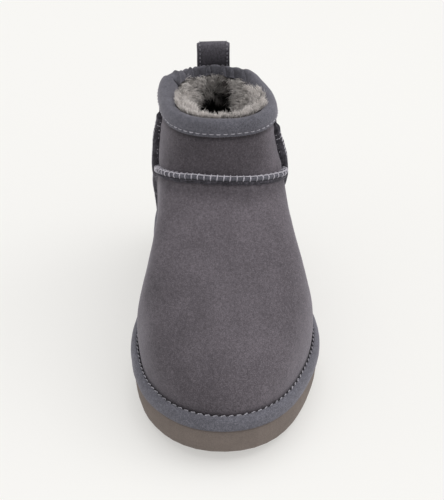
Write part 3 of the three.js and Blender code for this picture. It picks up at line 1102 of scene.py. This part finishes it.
def instep_stitches(frames):
    """Stitches over the rolled edge, each joined to the next by a short link along its crest."""
    length = measured([f[0] for f in frames])[-1]
    count = round(length / (INSTEP_STITCH_PITCH * MM))
    rng = random.Random(5)
    lines = []
    for k in range(1, count):
        share = k / count
        here, way = spot_on(frames, share)
        lines.append(wrap(here, way, 0.9, 1.75, 2.8, -62, 100, rng.uniform(0.1, 0.7)))
        if k < count - 1:
            nearer = seam_frame_at(frames, share + 0.5 / count)
            after = seam_frame_at(frames, share + 1 / count)
            link = [
                f[0] + (f[1] * 1.9 + f[2] * (2.55 + bulge)) * MM
                for f, bulge in ((here, 0.0), (nearer, 0.25), (after, 0.0))
            ]
            lines.append(link)
    return threads("instep_thread", lines, SEAM_THREAD, cord_thread)


instep_stitches(instep_seam())


def shaft_share(z):
    """1 between the instep seam's junction and the binding, where the side seam is widest."""
    return smooth_step(0.121, 0.108, z) * smooth_step(0.078, 0.092, z)


def side_line(seam):
    """The line of a side seam on the skin from the edge band to the collar, and its normals."""
    low, high, steps = 26, 128, 96
    points, normals = [], []
    for k in range(steps + 1):
        z = low + (high - low) * k / steps
        start = Vector((seam["side"] * 0.12, along(seam["line"], z) * MM, z * MM))
        point, normal, _, _ = upper_tree.ray_cast(start, Vector((-seam["side"], 0, 0)))
        if point:
            points.append(point)
            normals.append(normal)
    return points, normals


def side_seam(label):
    """Two raw edges standing side by side, sewn over from one to the other."""
    points, normals = softened(*side_line(SIDE_SEAMS[label]))
    frames = []
    for k, p in enumerate(points):
        out, across = axes_at(points, normals, k, BACKWARDS)
        girth = 1 + 0.1 * noise.noise(p * 200) - 0.62 * smooth_step(0.1225, 0.127, p.z)
        frames.append((p, across, out, girth + 0.32 * shaft_share(p.z)))
    for part, rise in (("front", -1.5), ("back", 1.5)):
        sweep(f"side_seam_{label}_{part}", frames, oval(3.3, 3.1, rise), cut_edge)
    rng = random.Random(len(label) + 11)
    count = round(measured(points)[-1] / (SIDE_STITCH_PITCH * MM))
    top = max(k for k in range(count) if seam_frame_at(frames, k / count)[0].z < 0.1250)
    lines = []
    for k in range(1, top):
        here, way = spot_on(frames, k / count)
        grown = 1 + 0.3 * shaft_share(here[0].z)
        lines.append(wrap(here, way, 0, 3.0 * grown, 2.95 * grown, -80, 80, rng.uniform(0.3, 1.2), 6))
    return threads(f"side_thread_{label}", lines, SIDE_THREAD, cord_thread)


for label in SIDE_SEAMS:
    side_seam(label)

# ------------------------------------------------------------------ pull loop

# Middle line of the strap from its tail against the heel, over the top and down again.
LOOP_LINE = [
    (118.8, 113.0),
    (118.3, 117.0),
    (118.5, 120.0),
    (118.0, 122.4),
    (117.1, 125.2),
    (116.5, 128.2),
    (116.4, 131.5),
    (116.8, 135.2),
    (117.5, 137.3),
    (119.0, 138.6),
    (120.8, 138.8),
    (122.7, 138.0),
    (123.9, 136.0),
    (124.2, 133.4),
    (123.9, 130.8),
    (122.7, 127.8),
    (121.2, 125.0),
    (119.9, 122.7),
    (119.9, 120.0),
    (119.8, 117.0),
    (120.3, 113.0),
]
LOOP_HALF = 10.4  # half of the strap's width
LOOP_THICK = 1.6
LOOP_STITCH_INSET = 2.0
HEEL_RADIUS = 46.0
HEEL_TOP = 129.2  # above this the strap stands free and flattens


def strap_bend(x, z):
    """How far the strap curves forwards at x, round the heel."""
    hug = min(1.0, max(0.25, (HEEL_TOP - z) / 12))
    return hug * x * x / (2 * HEEL_RADIUS)


def loop_strap():
    """The strap: a strip bent along its line, given its thickness and rounded edges, with painted shade
    along its stitch rows and towards its foot.
    """
    across = 16
    points = [p for p, _ in resample([Vector((0, y, z)) for y, z in LOOP_LINE], 1.0)]
    rows = len(points) - 1
    bpy.ops.object.select_all(action="DESELECT")
    bpy.ops.mesh.primitive_grid_add(x_subdivisions=across, y_subdivisions=rows, size=1)
    piece = bpy.context.object
    piece.name = "loop_strap"
    for vertex in piece.data.vertices:
        row = round((vertex.co.y + 0.5) * rows)
        x = vertex.co.x * 2 * LOOP_HALF
        p = points[row]
        share = abs(x) / LOOP_HALF
        droop = 1.3 * smooth_step(0.72, 1.0, share) * smooth_step(134.5, 138.5, p.z)
        x *= 1 - 0.03 * share * share
        vertex.co = Vector((x, p.y - strap_bend(x, p.z), p.z - droop)) * MM
    edit(piece, turn_outwards)
    pick(piece)
    wall = piece.modifiers.new("wall", "SOLIDIFY")
    wall.thickness = LOOP_THICK * MM
    wall.offset = 0
    bpy.ops.object.modifier_apply(modifier=wall.name)
    rim = piece.modifiers.new("rim", "BEVEL")
    rim.width = 0.45 * MM
    rim.segments = 2
    rim.limit_method = "ANGLE"
    rim.angle_limit = math.radians(50)
    bpy.ops.object.modifier_apply(modifier=rim.name)
    shade = []
    for vertex in piece.data.vertices:
        p = vertex.co.copy()
        inset = LOOP_HALF - abs(p.x) / MM
        pressed = bell(inset - LOOP_STITCH_INSET, 0.9)
        low = smooth_step(0.140, 0.126, p.z)
        # painted shade along the pressed stitch rows and lower down the strap
        shade.append(1.3 - 0.28 * pressed - 0.45 * low)
        vertex.co = p + Vector((noise.noise(p * 120) * 0.25, noise.noise(p * 140) * 0.3, 0)) * MM
    paint(piece, "shade", shade)
    return finish(piece, loop_suede, "suede_trim", "pull_loop")


def loop_stitches():
    """A row of stitches along each edge of the strap, on both faces, but not against the heel."""
    lines = []
    middle = [Vector((0, y, z)) for y, z in LOOP_LINE]
    for face in (1, -1):
        for side in (-1, 1):
            x = side * (LOOP_HALF - LOOP_STITCH_INSET)
            for p, way in resample(middle, 2.6)[1:-1]:
                normal = Vector((0, way.z, -way.y)) * face
                spot = Vector((x, p.y - strap_bend(x, p.z), p.z)) * MM
                spot += normal * (LOOP_THICK / 2 + 0.02) * MM
                if p.z < 122.7 and p.y < 119.4 and normal.y < 0:
                    continue
                lines.append(dash(spot, way, normal, 1.5, 0.12))
    return threads("loop_thread", lines, 0.19)


loop_strap()
loop_stitches()

# ------------------------------------------------------------------ wool


def lining_spots(piece, wanted, seed, keep):
    """Random spots on the faces that `keep` chooses, spread by area."""
    rng = random.Random(seed)
    mesh = piece.data
    faces = [f for f in mesh.polygons if keep(f.center, f.normal)]
    areas = [f.area for f in faces]
    total = sum(areas)
    spots = []
    carry = 0.0
    for face, area in zip(faces, areas):
        carry += wanted * area / total
        corners = [mesh.vertices[v].co for v in face.vertices]
        while carry >= 1:
            carry -= 1
            a, b = rng.random(), rng.random()
            if len(corners) == 4:
                low = corners[0].lerp(corners[1], a)
                high = corners[3].lerp(corners[2], a)
                p = low.lerp(high, b)
            else:
                if a + b > 1:
                    a, b = 1 - a, 1 - b
                p = corners[0] + (corners[1] - corners[0]) * a + (corners[2] - corners[0]) * b
            spots.append((p, face.normal.copy()))
    return spots


def lock_centres(spots, spacing):
    """A thinned set of spots, about `spacing` apart: the middles of the wool locks."""
    chosen, cells = [], {}
    for p, n in spots:
        key = tuple(math.floor(c / spacing) for c in p)
        close = any(
            (p - q).length < spacing
            for dx in (-1, 0, 1)
            for dy in (-1, 0, 1)
            for dz in (-1, 0, 1)
            for q in cells.get((key[0] + dx, key[1] + dy, key[2] + dz), ())
        )
        if not close:
            chosen.append((p, n))
            cells.setdefault(key, []).append(p)
    return chosen


def stray(rng, amount):
    """A small push any way at all."""
    return Vector((rng.gauss(0, 1), rng.gauss(0, 1), rng.gauss(0, 1))) * amount


def grow_wool(name, spots, spacing, length, girth, lay, seed, shade_of, material=wool_lock):
    """Tapered fibres leaning together in locks, joined in one mesh. `lay` gives the lean at a spot,
    `shade_of` the painted shade there.
    """
    rng = random.Random(seed)
    centres = lock_centres(spots, spacing)
    finder = KDTree(len(centres))
    for k, (p, _) in enumerate(centres):
        finder.insert(p, k)
    finder.balance()
    tips, lock_tone = [], []
    for p, n in centres:
        tips.append(p + (lay(p, n) + stray(rng, 0.2)) * length * MM)
        lock_tone.append(rng.uniform(-0.34, 0.22))
    verts, faces, tip_value, shade = [], [], [], []
    for p, n in spots:
        _, k, _ = finder.find(p)
        own = p + (lay(p, n) + stray(rng, 0.24)) * length * MM * rng.uniform(0.7, 1.12)
        tip = own.lerp(tips[k], rng.uniform(0.25, 0.64))
        root = p - n * 0.8 * MM
        middle = root.lerp(tip, 0.5) + n * length * MM * 0.16
        side = (tip - root).cross(n)
        side = side.normalized() if side.length > 1e-7 else Vector((1, 0, 0))
        other = (tip - root).cross(side).normalized()
        wide = girth * MM * rng.uniform(0.7, 1.2)
        tone = lock_tone[k] + rng.uniform(-0.12, 0.12)
        level = shade_of(p)
        start = len(verts)
        stages = (
            (0.0, 1.0, root),
            (0.45, 0.85, root.lerp(middle, 0.9)),
            (0.8, 0.55, middle.lerp(tip, 0.6)),
        )
        for share, width, q in stages:
            for j in range(3):
                turn = 2 * math.pi * j / 3
                verts.append(q + (side * math.cos(turn) + other * math.sin(turn)) * wide * width / 2)
                tip_value.append(min(1.0, max(0.0, share + tone)))
                shade.append(level)
        verts.append(tip)
        tip_value.append(min(1.0, max(0.0, 1 + tone)))
        shade.append(level)
        faces.append((start + 2, start + 1, start))
        for ring in (0, 1):
            for j in range(3):
                a = start + ring * 3 + j
                b = start + ring * 3 + (j + 1) % 3
                faces.append((a, b, b + 3, a + 3))
        for j in range(3):
            faces.append((start + 6 + j, start + 6 + (j + 1) % 3, start + 9))
    mesh = bpy.data.meshes.new(name)
    mesh.from_pydata(verts, [], faces)
    piece = bpy.data.objects.new(name, mesh)
    scene.collection.objects.link(piece)
    edit(piece, turn_outwards)
    paint(piece, "tip", tip_value)
    paint(piece, "shade", shade)
    return finish(piece, material, "wool")


def swirl(p, scale, amount):
    """A level drift that changes slowly over the wool."""
    return Vector((noise.noise(p * scale), noise.noise(p * scale + Vector((9, 0, 0))), 0)) * amount


def collar_lay(p, n):
    """Upright at the rim, then inwards, then down the leg; fuller at the two sides."""
    depth = below_rim(p)
    rim = (1 - smooth_step(3, 11, depth)) * smooth_step(0.074, 0.04, p.y)
    rise = Vector((0, 0, 0.75 * rim - 0.3 * (1 - rim)))
    drift = swirl(p, 75, 0.55) * (1 - 0.4 * rim)
    lean = (n * (0.85 - 0.25 * rim) + rise + drift).normalized()
    beside = smooth_step(0.012, 0.023, abs(p.x)) * smooth_step(2, 9, depth)
    behind = smooth_step(0.085, 0.1, p.y) * smooth_step(9, 4, depth)
    return lean * (0.64 + 0.68 * beside - 0.1 * behind)


def fringe_lay(p, n):
    """Short wool brushed up against the binding."""
    over = smooth_step(4.5, 1.0, below_rim(p)) * smooth_step(0.075, 0.045, p.y)
    drift = swirl(p, 90, 0.3) * (1 - 0.5 * over)
    lean = (n * (0.6 - 0.62 * over) + UP * 0.8 + drift).normalized()
    return lean * (0.95 - 0.35 * over)


def wall_lay(p, n):
    """Down the leg."""
    return (n * 0.6 - UP * 0.6 + swirl(p, 60, 0.4)).normalized()


def footbed_lay(p, n):
    """Upright, leaning here and there."""
    return (n * 0.8 + swirl(p, 60, 0.9)).normalized()


def wool_shade(p):
    """Painted shade: the wool fading to nothing down in the boot, soonest and darkest in the middle of
    its back.
    """
    depth = below_rim(p)
    middle = smooth_step(0.078, 0.1, p.y) * smooth_step(0.034, 0.008, abs(p.x))
    fade = smooth_step(13 - 2 * middle, 25 - 5 * middle, depth)
    return max(0.02, (1 - 0.24 * middle) * (1 - 0.98 * fade))


def is_lining(low, high, side=0):
    """Chooses the inner wall between two depths under the rim, on one side or on both."""
    return lambda c, n: (
        not facing_out(c, n)
        and low + 1.2 * smooth_step(0.06, 0.1, c.y) < below_rim(c) <= high
        and c.y > -0.01
        and c.x * side >= 0
    )


INNER_LEG = 5.0  # how far the binding reaches down inside the collar, in millimetres


def is_binding_inside(c, n):
    """The open face of the binding's inner leg, except at the back of the collar."""
    outward = Vector((c.x, c.y - COLLAR_AXIS.y, 0)).normalized()
    depth = below_rim(c)
    lowest = 0.2 + 2.4 * smooth_step(0.045, 0.075, c.y)
    if n.dot(outward) > -0.3 or not lowest < depth < INNER_LEG or c.y > 0.08:
        return False
    seen, _, _, _ = binding_tree.ray_cast(Vector((COLLAR_AXIS.x, COLLAR_AXIS.y, c.z)), outward)
    return seen is not None and (seen - c).length < 0.6 * MM


LEG_TOP = 27  # depth under the rim where the collar's wool gives way to the leg's
LEG_END = 95

for label, side, seed in (("inner", -1, 21), ("outer", 1, 31)):
    grow_wool(
        f"wool_collar_{label}",
        lining_spots(upper, 11500, seed, is_lining(1.5, LEG_TOP, side)),
        spacing=8 * MM,
        length=9.0,
        girth=0.44,
        lay=collar_lay,
        seed=seed + 1,
        shade_of=wool_shade,
    )
grow_wool(
    "wool_fringe",
    lining_spots(binding, 8500, 41, is_binding_inside),
    spacing=5 * MM,
    length=6.4,
    girth=0.36,
    lay=fringe_lay,
    seed=42,
    shade_of=lambda p: 1.0,
)
grow_wool(
    "wool_leg",
    lining_spots(upper, 6500, 4, is_lining(LEG_TOP, LEG_END)),
    spacing=7.5 * MM,
    length=8.5,
    girth=0.85,
    lay=wall_lay,
    seed=22,
    shade_of=wool_shade,
    # dark copy of the wool: painted shade down the leg
    material=shaded_deep_wool,
)
grow_wool(
    "wool_footbed",
    lining_spots(nodes["insole"], 5000, 5, lambda c, n: n.z > 0.8 and c.z > 0.024),
    spacing=7 * MM,
    length=5.5,
    girth=1.1,
    lay=footbed_lay,
    seed=23,
    shade_of=lambda p: 1.0,
    # dark copy of the wool: painted shade on the footbed
    material=shaded_deep_wool,
)

# ------------------------------------------------------------------ carried-over CAD pieces


def dress(node, material):
    """Gives a CAD node its material."""
    mesh = nodes[node].data
    mesh.materials.clear()
    mesh.materials.append(material)


dress("outsole", foam)
# the insole takes the wool ground with painted shade deep in the boot
dress("insole", shaded_footbed_skin)

# ------------------------------------------------------------------ floor and light


def make_floor():
    """Pale paper with a painted glow: it gives off a little light, which lightens the shadows on it."""
    bpy.ops.object.select_all(action="DESELECT")
    bpy.ops.mesh.primitive_plane_add(size=8, location=(0, 1, -0.0002))
    floor = bpy.context.object
    floor.name = "floor"
    r = Recipe("floor_paper", 0.9, 0.0, specular=0.1)
    cloud = r.noise(3, 2, 0.5)
    r.colour(r.ramp(cloud, (0.3, (0.455, 0.452, 0.442)), (0.7, (0.465, 0.462, 0.452))))
    # painted glow, which lightens the shadows round the boot
    r.shader.inputs["Emission Color"].default_value = (1.0, 0.994, 0.972, 1)
    r.shader.inputs["Emission Strength"].default_value = 0.45
    floor.data.materials.append(r.material)


# Wide soft lights far off: where each stands, its spread in degrees and its strength.
LIGHTS = table(
    ["name", "way", "spread", "strength"],
    [
        ["top_light", (0.18, 0.2, 1.0), 75, 1.35],
        ["right_light", (1.0, 0.15, 0.55), 50, 0.45],
        ["front_light", (0.4, -1.0, 0.6), 60, 0.14],
    ],
)


def make_light():
    """A pale room and the soft lights."""
    world = bpy.data.worlds.new("studio")
    scene.world = world
    world.use_nodes = True
    backdrop = world.node_tree.nodes["Background"]
    backdrop.inputs["Color"].default_value = (1.0, 0.995, 0.98, 1)
    backdrop.inputs["Strength"].default_value = 0.56
    for light in LIGHTS:
        way = Vector(light["way"])
        bpy.ops.object.light_add(type="SUN", location=way.normalized() * 3)
        lamp = bpy.context.object
        lamp.name = light["name"]
        lamp.data.energy = light["strength"]
        lamp.data.angle = math.radians(light["spread"])
        lamp.data.color = (1, 0.99, 0.98)
        lamp.rotation_euler = (-way).to_track_quat("-Z", "Y").to_euler()
    scene.view_settings.view_transform = "Standard"
    scene.view_settings.look = "None"


make_floor()
make_light()
